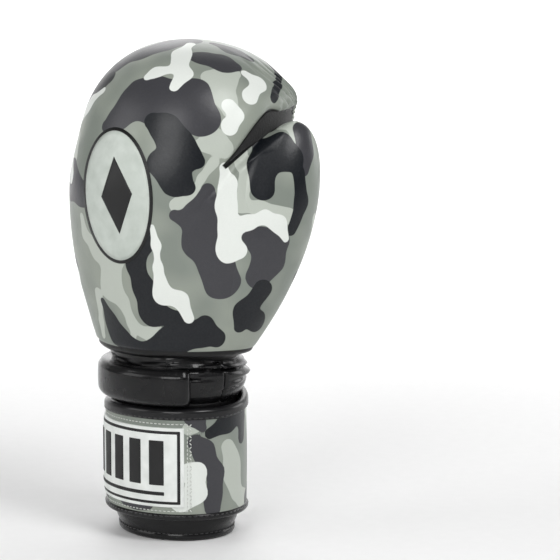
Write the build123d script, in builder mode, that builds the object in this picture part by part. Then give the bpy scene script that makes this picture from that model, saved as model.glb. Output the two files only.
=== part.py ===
"""A left-hand boxing glove with a padded fist, an attached thumb and a wrap-round hook-and-loop wrist strap.

Millimetres. +Z runs from the cuff mouth to the knuckles and the origin is the centre of the cuff mouth.
-Y faces the back of the hand, +Y the palm, +X the thumb and -X the little finger.
Angles round the cuff are measured from +X towards +Y: 0 is the thumb side, 90 the palm, 180 the little
finger's side and 270 (or -90) the back of the wrist.
"""

from build123d import *
import math
import os

os.makedirs("parts", exist_ok=True)

# ---------------------------------------------------------------- driving dimensions
GLOVE_LENGTH = 290.0

# Cuff: every layer is an ellipse with these half axes at its outer face.
CUFF_HALF_X, CUFF_HALF_Y = 39.5, 33.5
CUFF_TOP = 92.0
HEM_HEIGHT = 6.0
LEATHER = 1.5
CUFF_FOAM = 4.5
LINING = 1.0
SLIT_WIDTH = 3.0

# Hook-and-loop closure, from the cuff outwards.
LOOP_THICK, HOOK_THICK, PILE_GAP = 1.0, 1.4, 0.3
STRAP_THICK = 3.6
BINDING_PROUD = 0.8
LABEL_THICK = 1.0
LABEL_FRAME_THICK = 1.5

# Strap heights. Its top edge climbs towards the little finger's side, where the strap is sewn on.
STRAP_BOTTOM = 14.0
STRAP_TOP = 80.0
STRAP_CLIMB = 0.2
BINDING_TOP_HEIGHT, BINDING_BOTTOM_HEIGHT = 7.0, 4.0

# Strap stations round the cuff, in degrees: sewn end, three fold lines, free end.
STRAP_SEWN_END = 190.0
FOLD_PALM = 150.0
FOLD_THUMB = 66.0
FOLD_LABEL = -18.0
STRAP_FREE_END = -160.0
LABEL_FROM, LABEL_TO = -148.0, -26.0
LABEL_BOTTOM, LABEL_HEIGHT = 22.0, 47.0
LABEL_FRAME_WIDTH = 4.0
FOLD_GAP = 0.6  # degrees left open each side of a fold line

# Padded bar across the back of the wrist.
BAR_HALF_X, BAR_HALF_Y = 50.0, 44.0
BAR_BOTTOM, BAR_TOP = 84.0, 104.0
BAR_FROM, BAR_TO = -158.0, -22.0
BAR_EDGE = 4.0

# Fist: (height, centre x, centre y, half width, half depth) of its outer outline.
HAND_BOTTOM = 108.0
FIST_SECTIONS = [
    (HAND_BOTTOM, 0.0, -5.0, 45.0, 39.0),
    (125.0, -2.0, -7.0, 49.0, 39.0),
    (150.0, -3.0, -8.0, 56.0, 44.0),
    (180.0, -3.0, -7.0, 61.0, 50.0),
    (210.0, -2.0, 3.0, 65.0, 63.0),
    (238.0, -1.0, 10.0, 64.0, 65.0),
    (264.0, 0.0, 12.0, 52.0, 52.0),
    (281.0, 0.0, 12.0, 31.0, 31.0),
    (GLOVE_LENGTH, 0.0, 12.0, 9.0, 9.0),
]
FIST_LEATHER = 1.8
OUTER_FOAM = 14.0

# Hand pocket, the room for a wrapped hand: (height, centre x, centre y, half width, half depth).
POCKET_SECTIONS = [
    (HAND_BOTTOM, -2.0, 5.0, 35.0, 20.0),
    (130.0, 0.0, 6.0, 39.5, 19.0),
    (155.0, -4.0, 7.0, 38.0, 19.0),
    (195.0, -5.0, 10.0, 37.0, 19.0),
    (228.0, -4.0, 16.0, 33.0, 19.0),
]
POCKET_LINING = 1.2

# Palm window, where black palm leather replaces the printed shell.
WINDOW_FROM_Y = 14.0
WINDOW_TOP = 200.0

# Thumb: an ellipsoid that leans out towards the thumb side and the palm.
THUMB_CENTRE = Vector(50.0, 26.0, 178.0)
THUMB_RADIUS, THUMB_HALF_LENGTH = 27.5, 71.0
THUMB_LEAN = Vector(0.25, 0.25, 1.0).normalized()
THUMB_LEATHER, THUMB_FOAM_WALL, THUMB_LINING = 1.6, 9.0, 1.0
THUMB_CLEARANCE = 3.0
THUMB_POCKET_MARGIN = 2.2
THUMB_INNER_SPLIT = 13.0

# Small pieces.
GRIP_RADIUS, GRIP_LENGTH = 6.5, 52.0
GRIP_CENTRE = Vector(-4.0, 15.0, 211.0)
BADGE_HALF_WIDTH, BADGE_HALF_HEIGHT = 20.0, 37.0
BADGE_HEIGHT, BADGE_TURN = 196.0, 22.0
BADGE_THICK = 0.9
SIZE_TAG_WIDTH, SIZE_TAG_FROM, SIZE_TAG_TO = 16.0, 118.0, 150.0
REACH = 160.0

# ---------------------------------------------------------------- helpers


def elliptical_block(half_x, half_y, low, high):
    """A solid elliptical post about the cuff's axis."""
    with BuildPart() as post:
        with BuildSketch(Plane.XY.offset(low)):
            Ellipse(half_x, half_y)
        extrude(amount=high - low)
    return post.part


def sector(start, end, low, high):
    """A wedge about the cuff's axis between two angles, used to cut a band to its length."""
    steps = max(2, math.ceil((end - start) / 30))
    rim = [start + (end - start) * i / steps for i in range(steps + 1)]
    rim_corners = [(REACH * math.cos(math.radians(a)), REACH * math.sin(math.radians(a))) for a in rim]
    with BuildPart() as wedge:
        with BuildSketch(Plane.XY.offset(low)):
            Polygon((0, 0), *rim_corners, align=None)
        extrude(amount=high - low)
    return wedge.part


def band(inner, outer, start, end, low, high):
    """Part of an elliptical ring. inner and outer are how far its faces stand out from the cuff's shell."""
    with BuildPart() as ring:
        add(elliptical_block(CUFF_HALF_X + outer, CUFF_HALF_Y + outer, low, high))
        add(elliptical_block(CUFF_HALF_X + inner, CUFF_HALF_Y + inner, low, high), mode=Mode.SUBTRACT)
        add(sector(start, end, low, high), mode=Mode.INTERSECT)
    return ring.part


def climbing_plane(below=0.0):
    """The plane of the strap's sloping top edge, or one that far below it."""
    return Plane(origin=(CUFF_HALF_X, 0, STRAP_TOP - below), z_dir=(STRAP_CLIMB, 0, 1))


def section_stack(sections, inset=0.0, top_inset=None):
    """A smooth solid through a stack of ellipses, drawn in by inset all round."""
    top_inset = inset if top_inset is None else top_inset
    last = sections[-1][0]
    with BuildPart() as stack:
        for height, x, y, half_x, half_y in sections:
            drop = top_inset if height == last else inset * (height - HAND_BOTTOM) / (last - HAND_BOTTOM)
            with BuildSketch(Plane((x, y, height - drop))):
                Ellipse(half_x - inset, half_y - inset)
        loft()
    return stack.part


def thumb_solid(change=0.0):
    """The thumb's ellipsoid, made larger or smaller by change."""
    radius, half_length = THUMB_RADIUS + change, THUMB_HALF_LENGTH + change
    with BuildPart() as thumb:
        Sphere(1)
        scale(by=(radius, radius, half_length))
    return Plane(origin=THUMB_CENTRE, z_dir=THUMB_LEAN).from_local_coords(thumb.part)


def keep(part, label):
    """Labels a finished piece and writes it."""
    part.label = label
    export_step(part, f"parts/{label}.step")


# ---------------------------------------------------------------- cuff
foam_face = -LEATHER
lining_face = foam_face - CUFF_FOAM
inner_face = lining_face - LINING

with BuildPart() as slit:
    with Locations((0, CUFF_HALF_Y, CUFF_TOP / 2)):
        Box(SLIT_WIDTH, CUFF_HALF_Y, CUFF_TOP + 4)

with BuildPart() as cuff_shell:
    add(band(foam_face, 0, 0, 360, HEM_HEIGHT, CUFF_TOP))
    add(slit.part, mode=Mode.SUBTRACT)
keep(cuff_shell.part, "cuff_shell")

with BuildPart() as cuff_foam:
    add(band(lining_face, foam_face, 0, 360, HEM_HEIGHT, CUFF_TOP))
    add(slit.part, mode=Mode.SUBTRACT)
keep(cuff_foam.part, "cuff_foam")

with BuildPart() as cuff_lining:
    add(band(inner_face, lining_face, 0, 360, HEM_HEIGHT, CUFF_TOP))
    add(slit.part, mode=Mode.SUBTRACT)
keep(cuff_lining.part, "cuff_lining")

with BuildPart() as cuff_hem:
    add(band(inner_face, 0, 0, 360, 0, HEM_HEIGHT))
    add(slit.part, mode=Mode.SUBTRACT)
keep(cuff_hem.part, "cuff_hem")

# The leather sleeve that bends between the cuff and the hand.
with BuildPart() as wrist_gusset:
    add(band(foam_face, 0, 0, 360, CUFF_TOP + 0.3, HAND_BOTTOM - 0.3))
keep(wrist_gusset.part, "wrist_gusset")

# Padded bar across the back of the wrist: a foam core in a leather cover.
bar_proud = BAR_HALF_X - CUFF_HALF_X


def bar_solid(shrink):
    """The padded bar, drawn in by shrink on every face but the one on the cuff."""
    turn = math.degrees(shrink / BAR_HALF_Y)
    with BuildPart() as bar:
        add(
            band(
                0,
                bar_proud - shrink,
                BAR_FROM + turn,
                BAR_TO - turn,
                BAR_BOTTOM + shrink,
                BAR_TOP - shrink,
            )
        )
        level_edges = bar.edges().filter_by(lambda e: abs(e.bounding_box().size.Z) < 0.1)
        outer_arcs = level_edges.sort_by(lambda e: e.bounding_box().min.Y)[:2]
        fillet(outer_arcs, BAR_EDGE - shrink)
    return bar.part


with BuildPart() as wrist_bar_foam:
    add(bar_solid(LEATHER))
keep(wrist_bar_foam.part, "wrist_bar_foam")

with BuildPart() as wrist_bar_cover:
    add(bar_solid(0))
    add(wrist_bar_foam.part, mode=Mode.SUBTRACT)
keep(wrist_bar_cover.part, "wrist_bar_cover")

# ---------------------------------------------------------------- strap
strap_in = LOOP_THICK + PILE_GAP + HOOK_THICK
strap_out = strap_in + STRAP_THICK
binding_out = strap_out + BINDING_PROUD
climb_room = STRAP_TOP + 40

with BuildPart() as loop_pad:
    add(band(0, LOOP_THICK, STRAP_FREE_END + 6, FOLD_LABEL - 12, STRAP_BOTTOM + 10, STRAP_TOP - 12))
keep(loop_pad.part, "loop_pad")


def strap_panel(start, end, inner):
    """A length of the strap's printed panel, between its two bindings."""
    with BuildPart() as panel:
        add(band(inner, strap_out, start, end, STRAP_BOTTOM + BINDING_BOTTOM_HEIGHT, climb_room))
        if start >= FOLD_LABEL:
            split(bisect_by=climbing_plane(BINDING_TOP_HEIGHT), keep=Keep.BOTTOM)
        else:
            split(bisect_by=Plane.XY.offset(STRAP_TOP - BINDING_TOP_HEIGHT), keep=Keep.BOTTOM)
    return panel.part


def strap_binding(start, end, inner):
    """The folded leather edging of that length of strap: one strip on top and one below."""
    with BuildPart() as top_strip:
        add(band(inner, binding_out, start, end, STRAP_TOP / 2, climb_room))
        if start >= FOLD_LABEL:
            split(bisect_by=climbing_plane(), keep=Keep.BOTTOM)
            split(bisect_by=climbing_plane(BINDING_TOP_HEIGHT), keep=Keep.TOP)
        else:
            split(bisect_by=Plane.XY.offset(STRAP_TOP), keep=Keep.BOTTOM)
            split(bisect_by=Plane.XY.offset(STRAP_TOP - BINDING_TOP_HEIGHT), keep=Keep.TOP)
    with BuildPart() as both:
        add(top_strip.part)
        add(band(inner, binding_out, start, end, STRAP_BOTTOM, STRAP_BOTTOM + BINDING_BOTTOM_HEIGHT))
    return both.part


LENGTHS = {
    "strap_root": (FOLD_PALM + FOLD_GAP, STRAP_SEWN_END, 0.0),
    "strap_palm": (FOLD_THUMB + FOLD_GAP, FOLD_PALM - FOLD_GAP, strap_in),
    "strap_thumb": (FOLD_LABEL + FOLD_GAP, FOLD_THUMB - FOLD_GAP, strap_in),
    "strap_end": (STRAP_FREE_END, FOLD_LABEL - FOLD_GAP, strap_in),
}
for name, (start, end, inner) in LENGTHS.items():
    with BuildPart() as panel:
        add(strap_panel(start, end, inner))
    keep(panel.part, f"{name}_panel")
    with BuildPart() as binding:
        add(strap_binding(start, end, inner))
    keep(binding.part, f"{name}_binding")

with BuildPart() as hook_pad:
    add(
        band(
            LOOP_THICK + PILE_GAP,
            strap_in,
            STRAP_FREE_END + 10,
            FOLD_LABEL - 16,
            STRAP_BOTTOM + 12,
            STRAP_TOP - 14,
        )
    )
keep(hook_pad.part, "hook_pad")

label_top = LABEL_BOTTOM + LABEL_HEIGHT
frame_turn = math.degrees(LABEL_FRAME_WIDTH / (CUFF_HALF_Y + strap_out))
label_cut = (
    LABEL_FROM + frame_turn,
    LABEL_TO - frame_turn,
    LABEL_BOTTOM + LABEL_FRAME_WIDTH,
    label_top - LABEL_FRAME_WIDTH,
)
with BuildPart() as strap_label:
    add(band(strap_out, strap_out + LABEL_THICK, *label_cut))
keep(strap_label.part, "strap_label")

with BuildPart() as label_frame:
    add(band(strap_out, strap_out + LABEL_FRAME_THICK, LABEL_FROM, LABEL_TO, LABEL_BOTTOM, label_top))
    add(band(strap_out - 1, strap_out + LABEL_FRAME_THICK + 1, *label_cut), mode=Mode.SUBTRACT)
keep(label_frame.part, "label_frame")

# ---------------------------------------------------------------- fist
fist = section_stack(FIST_SECTIONS)
fist_under_leather = section_stack(FIST_SECTIONS, FIST_LEATHER)
fist_core = section_stack(FIST_SECTIONS[:-1], FIST_LEATHER + OUTER_FOAM)
pocket = section_stack(POCKET_SECTIONS)
pocket_outside = section_stack(POCKET_SECTIONS, -POCKET_LINING)
thumb_room = thumb_solid(THUMB_CLEARANCE)
thumb_pocket = thumb_solid(-THUMB_LEATHER - THUMB_FOAM_WALL - THUMB_LINING)

with BuildPart() as window:
    with Locations((0, WINDOW_FROM_Y, HAND_BOTTOM)):
        Box(REACH, REACH, WINDOW_TOP - HAND_BOTTOM, align=(Align.CENTER, Align.MIN, Align.MIN))

with BuildPart() as fist_shell:
    add(fist)
    add(fist_under_leather, mode=Mode.SUBTRACT)
    add(window.part, mode=Mode.SUBTRACT)
    add(thumb_room, mode=Mode.SUBTRACT)
keep(fist_shell.part, "fist_shell")

with BuildPart() as palm_shell:
    add(fist)
    add(fist_under_leather, mode=Mode.SUBTRACT)
    add(window.part, mode=Mode.INTERSECT)
    add(thumb_room, mode=Mode.SUBTRACT)
keep(palm_shell.part, "palm_shell")

with BuildPart() as outer_foam:
    add(fist_under_leather)
    add(fist_core, mode=Mode.SUBTRACT)
    add(pocket_outside, mode=Mode.SUBTRACT)
    add(window.part, mode=Mode.SUBTRACT)
    add(thumb_room, mode=Mode.SUBTRACT)
keep(outer_foam.part, "outer_foam")

with BuildPart() as inner_foam:
    add(fist_core)
    add(pocket_outside, mode=Mode.SUBTRACT)
    add(window.part, mode=Mode.SUBTRACT)
    add(thumb_room, mode=Mode.SUBTRACT)
keep(inner_foam.part, "inner_foam")

with BuildPart() as palm_padding:
    add(fist_under_leather)
    add(pocket_outside, mode=Mode.SUBTRACT)
    add(window.part, mode=Mode.INTERSECT)
    add(thumb_room, mode=Mode.SUBTRACT)
keep(palm_padding.part, "palm_padding")

with BuildPart() as hand_lining:
    add(pocket_outside)
    add(pocket, mode=Mode.SUBTRACT)
    add(thumb_room, mode=Mode.SUBTRACT)
keep(hand_lining.part, "hand_lining")

with BuildPart(Plane(origin=GRIP_CENTRE, z_dir=(1, 0, 0))) as grip_bar:
    Cylinder(GRIP_RADIUS, GRIP_LENGTH)
    fillet(grip_bar.edges().filter_by(GeomType.CIRCLE), GRIP_RADIUS * 0.6)
keep(grip_bar.part, "grip_bar")

# Black strip down in the crease between the finger roll and the thumb.
with BuildPart() as crease_strip:
    add(thumb_solid(THUMB_CLEARANCE))
    add(thumb_solid(THUMB_CLEARANCE - 1.6), mode=Mode.SUBTRACT)
    add(fist_under_leather, mode=Mode.INTERSECT)
    add(pocket_outside, mode=Mode.SUBTRACT)
    split(bisect_by=Plane.XY.offset(150), keep=Keep.TOP)
keep(crease_strip.part, "crease_strip")

# Oval badge on the back of the fist, and a size tag on the little finger's side.
badge_way = Plane(
    origin=(0, 0, BADGE_HEIGHT),
    x_dir=(math.cos(math.radians(BADGE_TURN)), math.sin(math.radians(BADGE_TURN)), 0),
    z_dir=(math.sin(math.radians(BADGE_TURN)), -math.cos(math.radians(BADGE_TURN)), 0),
)
fist_proud = section_stack(FIST_SECTIONS, -BADGE_THICK)
with BuildPart() as badge:
    with BuildSketch(badge_way):
        Ellipse(BADGE_HALF_WIDTH, BADGE_HALF_HEIGHT)
    extrude(amount=REACH)
    add(fist_proud, mode=Mode.INTERSECT)
    add(fist, mode=Mode.SUBTRACT)
keep(badge.part, "badge")

with BuildPart() as size_tag:
    with Locations((-REACH / 2, 0, (SIZE_TAG_FROM + SIZE_TAG_TO) / 2)):
        Box(REACH, SIZE_TAG_WIDTH, SIZE_TAG_TO - SIZE_TAG_FROM)
    add(fist_proud, mode=Mode.INTERSECT)
    add(fist, mode=Mode.SUBTRACT)
keep(size_tag.part, "size_tag")

# ---------------------------------------------------------------- thumb
pocket_margin = section_stack(POCKET_SECTIONS, -POCKET_LINING - THUMB_POCKET_MARGIN)
thumb_under_leather = thumb_solid(-THUMB_LEATHER)
thumb_under_foam = thumb_solid(-THUMB_LEATHER - THUMB_FOAM_WALL)
outward = Vector(THUMB_LEAN.X, THUMB_LEAN.Y, 0).normalized()
with BuildPart(Plane(origin=THUMB_CENTRE - outward * THUMB_INNER_SPLIT, z_dir=outward)) as outer_side:
    Box(REACH, REACH, REACH, align=(Align.CENTER, Align.CENTER, Align.MIN))


def thumb_layer(outside, inside):
    """One layer of the thumb, open at its foot where it joins the hand pocket."""
    with BuildPart() as hollow:
        add(inside)
        add(pocket_margin)
    with BuildPart() as layer:
        add(outside)
        add(hollow.part, mode=Mode.SUBTRACT)
    return layer.part


thumb_skin = thumb_layer(thumb_solid(), thumb_under_leather)
with BuildPart() as thumb_shell:
    add(thumb_skin)
    add(outer_side.part, mode=Mode.INTERSECT)
keep(thumb_shell.part, "thumb_shell")

with BuildPart() as thumb_inner_panel:
    add(thumb_skin)
    add(outer_side.part, mode=Mode.SUBTRACT)
keep(thumb_inner_panel.part, "thumb_inner_panel")

with BuildPart() as thumb_foam:
    add(thumb_layer(thumb_under_leather, thumb_under_foam))
keep(thumb_foam.part, "thumb_foam")

with BuildPart() as thumb_lining:
    add(thumb_layer(thumb_under_foam, thumb_pocket))
keep(thumb_lining.part, "thumb_lining")
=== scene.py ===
"""Looks of the boxing glove, left hand. It stands on its cuff: +Z to the knuckles, -Y back of the hand,
+Y palm, +X thumb side. Shapes are worked out in millimetres and built in metres."""

import math

import bmesh
import bpy
import numpy as np
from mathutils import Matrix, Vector
from mathutils.bvhtree import BVHTree


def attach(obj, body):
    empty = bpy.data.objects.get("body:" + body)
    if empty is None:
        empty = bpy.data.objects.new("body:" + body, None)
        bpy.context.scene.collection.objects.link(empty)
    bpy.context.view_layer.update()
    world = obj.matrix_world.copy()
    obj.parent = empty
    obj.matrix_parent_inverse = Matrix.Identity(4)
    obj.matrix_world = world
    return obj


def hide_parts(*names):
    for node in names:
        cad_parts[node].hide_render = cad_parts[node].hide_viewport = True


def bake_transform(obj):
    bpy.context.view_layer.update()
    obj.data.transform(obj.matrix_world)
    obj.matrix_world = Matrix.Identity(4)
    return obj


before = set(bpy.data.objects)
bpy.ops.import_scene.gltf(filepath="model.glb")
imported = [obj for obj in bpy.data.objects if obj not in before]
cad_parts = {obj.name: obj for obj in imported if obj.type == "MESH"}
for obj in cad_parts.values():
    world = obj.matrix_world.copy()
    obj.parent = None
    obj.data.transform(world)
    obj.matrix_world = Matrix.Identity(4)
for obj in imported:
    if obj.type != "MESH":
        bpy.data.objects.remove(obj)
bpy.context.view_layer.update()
MM = 0.001

# ---------------------------------------------------------------- dimensions, in mm, as in the CAD part
CUFF_A, CUFF_B = 39.5, 33.5
CUFF_TOP = 92.0
WALL = 6.0
STRAP_IN, STRAP_OUT, TRIM_OUT = 2.7, 6.3, 7.1
STRAP_BOTTOM, STRAP_TOP, STRAP_CLIMB = 14.0, 80.0, 0.2
TRIM_TOP, TRIM_BOTTOM = 7.0, 4.0
SEWN_END, FOLD_PALM, FOLD_THUMB, FOLD_LABEL, FREE_END = 190.0, 150.0, 66.0, -18.0, -160.0
LABEL_FROM, LABEL_TO, LABEL_BOTTOM, LABEL_TOP = -148.0, -26.0, 22.0, 69.0
HAND_BOTTOM = 108.0
HEM_TOP = 114.5
# Sections of the fist and of the room for the hand: height, middle in x and y, and half sizes in x and y.
FIST = np.array(
    [
        (100.0, 0.0, -5.0, 44.0, 38.5),
        (108.0, 0.0, -5.0, 45.0, 39.0),
        (125.0, -2.0, -7.0, 49.5, 39.5),
        (150.0, -3.0, -8.0, 56.0, 44.0),
        (180.0, -3.0, -7.0, 61.0, 50.0),
        (210.0, -2.0, 3.0, 65.0, 62.5),
        (238.0, -1.0, 10.0, 65.0, 64.0),
        (264.0, 0.0, 12.0, 65.0, 64.0),
        (292.0, 0.0, 12.0, 65.0, 64.0),
    ]
)
DOME_BASE, DOME_TOP, DOME_POWER = 217.0, 291.0, 3.0
POCKET = np.array(
    [
        (100.0, -2.0, 5.0, 36.2, 21.2),
        (130.0, 0.0, 6.0, 40.7, 20.2),
        (155.0, -4.0, 7.0, 39.2, 20.2),
        (195.0, -5.0, 10.0, 38.2, 20.2),
        (229.2, -4.0, 16.0, 34.2, 20.2),
    ]
)
POCKET_TOP = 229.2
THUMB_C = np.array([50.0, 26.0, 178.0])
THUMB_R, THUMB_H = 27.5, 71.0
THUMB_LEAN = np.array([0.25, 0.25, 1.0]) / math.sqrt(1.125)
OUTWARD = np.array([1.0, 1.0, 0.0]) / math.sqrt(2)
THUMB_WALL = 10.6

# The camera's view: from which side and how high in degrees, the point it looks at, and what it takes in.
VIEW_AZIMUTH, VIEW_ELEVATION = 55.0, 8.5
VIEW_CENTRE = np.array([35.4, 50.5, 149.3])
VIEW_WIDTH, VIEW_DISTANCE = 330.4, 1700.0
SENSOR = 36.0

azimuth, elevation = math.radians(VIEW_AZIMUTH), math.radians(VIEW_ELEVATION)
RIGHT = np.array([math.cos(azimuth), math.sin(azimuth), 0.0])
level = math.cos(elevation)
TOWARDS = np.array([math.sin(azimuth) * level, -math.cos(azimuth) * level, math.sin(elevation)])
LEVEL_TOWARDS = TOWARDS * [1, 1, 0] / np.linalg.norm(TOWARDS[:2])
UP = np.cross(TOWARDS, RIGHT)

# ---------------------------------------------------------------- small maths


def smooth_min(a, b, k):
    """The smaller of two fields, filleted over a width of about k where they meet."""
    h = np.clip(k - np.abs(a - b), 0, None) / k
    return np.minimum(a, b) - h * h * k * 0.25


def smooth_max(a, b, k):
    """The larger of two fields, filleted in the same way."""
    return -smooth_min(-a, -b, k)


def ramp(t, start, end):
    """0 up to start and 1 from end on, with a smooth step between."""
    t = np.clip((t - start) / (end - start), 0, 1)
    return t * t * (3 - 2 * t)


def curve_through(z, table, column):
    """A smooth curve through one column of a table of sections."""
    knots, values = table[:, 0], table[:, column]
    slopes = np.gradient(values, knots)
    i = np.clip(np.searchsorted(knots, z) - 1, 0, len(knots) - 2)
    step = knots[i + 1] - knots[i]
    t = np.clip((z - knots[i]) / step, 0, 1)
    return (
        values[i] * (1 + 2 * t) * (1 - t) ** 2
        + slopes[i] * step * t * (1 - t) ** 2
        + values[i + 1] * t * t * (3 - 2 * t)
        + slopes[i + 1] * step * t * t * (t - 1)
    )


WAVES = np.random.default_rng(7).normal(size=(24, 3))
PHASES = np.random.default_rng(8).uniform(0, 6.283, 24)


def waviness(p, size):
    """A smooth random field between about -1 and 1 whose bumps are about size across."""
    total = np.zeros(len(p))
    for wave, phase in zip(WAVES, PHASES):
        total += np.sin(p @ (wave / np.linalg.norm(wave) * 3.4 / size) + phase)
    return total / 4.5


# ---------------------------------------------------------------- meshes from fields


def gradient(field, p, step=0.25):
    """The value and slope of a field at each point."""
    slope = np.empty_like(p)
    for axis in range(3):
        shift = np.zeros(3)
        shift[axis] = step
        slope[:, axis] = (field(p + shift) - field(p - shift)) / (2 * step)
    return slope


def grid_values(field, low, shape, cell):
    """The field at every grid point, worked out exactly only near the surface."""
    coarse = 4
    steps = [n // coarse + 2 for n in shape]
    axes = [low[i] + np.arange(steps[i]) * cell * coarse for i in range(3)]
    big = np.stack(np.meshgrid(*axes, indexing="ij"), -1).reshape(-1, 3)
    rough = field(big).reshape(steps)
    for axis, count in enumerate(shape):
        at = np.arange(count) / coarse
        i = at.astype(int)
        f = (at - i).reshape([-1 if a == axis else 1 for a in range(3)])
        rough = np.take(rough, i, axis) * (1 - f) + np.take(rough, i + 1, axis) * f
    near = np.argwhere(np.abs(rough) < cell * coarse * 1.5)
    for part in np.array_split(near, max(1, len(near) // 400000)):
        rough[tuple(part.T)] = field(low + part * cell)
    return rough


PULLS, LONGEST_PULL, LEAST_SLOPE = 4, 0.7, 0.04


def surface_of(field, low, high, cell):
    """Points and quads of the surface where a field is zero: one point for each cell that it crosses."""
    low = np.array(low, float)
    shape = [int(math.ceil((h - b) / cell)) + 1 for b, h in zip(low, high)]
    values = grid_values(field, low, shape, cell)
    inside = values < 0
    cells = [n - 1 for n in shape]
    sums = np.zeros(cells + [3])
    counts = np.zeros(cells)
    for axis in range(3):
        others = [a for a in range(3) if a != axis]
        for first in (0, 1):
            for second in (0, 1):
                start = [0, 0, 0]
                start[others[0]], start[others[1]] = first, second
                near = tuple(slice(s, s + n) for s, n in zip(start, cells))
                start[axis] = 1
                far = tuple(slice(s, s + n) for s, n in zip(start, cells))
                a, b = values[near], values[far]
                cross = inside[near] != inside[far]
                t = np.where(cross, a / np.where(cross, a - b, 1), 0)
                sums[..., axis] += np.where(cross, t, 0)
                sums[..., others[0]] += cross * first
                sums[..., others[1]] += cross * second
                counts += cross
    used = np.argwhere(counts > 0)
    index = np.full(cells, -1)
    index[tuple(used.T)] = np.arange(len(used))
    points = low + cell * (used + sums[tuple(used.T)] / counts[tuple(used.T)][:, None])
    quads = []
    for axis in range(3):
        o1, o2 = (axis + 1) % 3, (axis + 2) % 3
        here = [slice(1, None)] * 3
        ahead = [slice(1, None)] * 3
        here[axis], ahead[axis] = slice(0, -1), slice(1, None)
        here[o1] = here[o2] = ahead[o1] = ahead[o2] = slice(1, -1)
        a, b = inside[tuple(here)], inside[tuple(ahead)]
        at = np.argwhere(a != b)
        base = at.copy()
        base[:, o1] += 1
        base[:, o2] += 1
        corner = []
        for d1, d2 in ((-1, -1), (0, -1), (0, 0), (-1, 0)):
            c = base.copy()
            c[:, o1] += d1
            c[:, o2] += d2
            corner.append(index[tuple(c.T)])
        quad = np.stack(corner, 1)
        outward = a[tuple(at.T)]
        quad[~outward] = quad[~outward][:, ::-1]
        quads.append(quad)
    quads = np.concatenate(quads)
    for _ in range(PULLS):
        slope = gradient(field, points)
        size = np.maximum((slope**2).sum(1), LEAST_SLOPE)
        move = -field(points)[:, None] * slope / size[:, None]
        length = np.linalg.norm(move, axis=1, keepdims=True)
        points = points + move * np.minimum(1, LONGEST_PULL * cell / np.maximum(length, 1e-9))
    return largest_part(points, quads)


def largest_part(points, quads):
    """The biggest connected part of a mesh, without the specks that lie loose beside it."""
    label = np.arange(len(points))
    while True:
        joined = label.copy()
        np.minimum.at(joined, quads.ravel(), np.repeat(label[quads].min(1), 4))
        joined = joined[joined]
        if np.array_equal(joined, label):
            break
        label = joined
    keep = label == np.bincount(label).argmax()
    renumbered = np.cumsum(keep) - 1
    return points[keep], renumbered[quads[keep[quads[:, 0]]]]


def mesh_object(name, points, faces, material):
    """A Blender object from points in mm."""
    if isinstance(faces, np.ndarray):
        faces = faces.tolist()
    mesh = bpy.data.meshes.new(name)
    mesh.from_pydata((np.asarray(points) * MM).tolist(), [], faces)
    mesh.update()
    mesh.shade_smooth()
    mesh.materials.append(material)
    obj = bpy.data.objects.new(name, mesh)
    bpy.context.scene.collection.objects.link(obj)
    return obj


def set_field(obj, name, values):
    """Stores one number per point for the material to read."""
    layer = obj.data.attributes.new(name, "FLOAT", "POINT")
    layer.data.foreach_set("value", np.asarray(values, np.float32))


def points_of(obj):
    """A mesh's points in mm."""
    co = np.empty(len(obj.data.vertices) * 3, np.float32)
    obj.data.vertices.foreach_get("co", co)
    return co.reshape(-1, 3).astype(float) / MM


# ---------------------------------------------------------------- the shapes as fields


def outline(p, table, domed=True):
    """How far each point is outside a stack of ellipses, which may close in a dome. Roughly in mm."""
    x, y, z = p.T
    cx, cy = curve_through(z, table, 1), curve_through(z, table, 2)
    a, b = curve_through(z, table, 3), curve_through(z, table, 4)
    dome = np.clip((z - DOME_BASE) / (DOME_TOP - DOME_BASE), 0, None) ** DOME_POWER if domed else 0
    g = np.sqrt(((x - cx) / a) ** 2 + ((y - cy) / b) ** 2 + dome)
    return (g - 1) * np.minimum(a, b)


def thumb_distance(p, change=0.0):
    """Roughly the distance outside the thumb's ellipsoid."""
    q = p - THUMB_C
    along = q @ THUMB_LEAN
    across = np.sqrt(np.maximum((q**2).sum(1) - along**2, 0))
    r, h = THUMB_R + change, THUMB_H + change
    g = np.sqrt((across / r) ** 2 + (along / h) ** 2)
    steep = np.sqrt((across / r**2) ** 2 + (along / h**2) ** 2) / np.maximum(g, 1e-6)
    return (g - 1) / np.maximum(steep, 1 / h)


# The thumb's fuller shoulder, which meets the fist at the crease: its middle and half sizes along the crease,
# across it and towards the camera.
SHOULDER_C = RIGHT * 53.0 + UP * 215.5 + TOWARDS * 33.0
SHOULDER_ALONG = RIGHT * 0.733 + UP * 0.68
SHOULDER_ACROSS = RIGHT * 0.68 - UP * 0.733
SHOULDER_SIZE = (27.0, 15.0, 16.5)
SHOULDER_POWER = 2.7


def thumb_outside(p):
    """Roughly the distance outside the whole thumb, shoulder and all."""
    q = p - SHOULDER_C
    g = 0
    for way, size in zip((SHOULDER_ALONG, SHOULDER_ACROSS, TOWARDS), SHOULDER_SIZE):
        g = g + np.abs((q @ way) / size) ** SHOULDER_POWER
    shoulder = (g ** (1 / SHOULDER_POWER) - 1) * SHOULDER_SIZE[1]
    return smooth_min(thumb_distance(p), shoulder, 9)


def pocket_distance(p):
    """The room for the hand, open below."""
    return np.maximum(outline(p, POCKET, domed=False), p[:, 2] - POCKET_TOP)


PALM_EDGE_Y = 14.0


def palm_zone(p):
    """Negative in the part of the fist, under the finger roll, that the black palm fills."""
    x, y, z = p.T
    roll_bottom = 207 + 10 * ramp(x, 0, 60) - 0.010 * np.clip(y - 40, 0, None) ** 2
    return np.maximum(PALM_EDGE_Y - y, z - roll_bottom)


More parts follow.
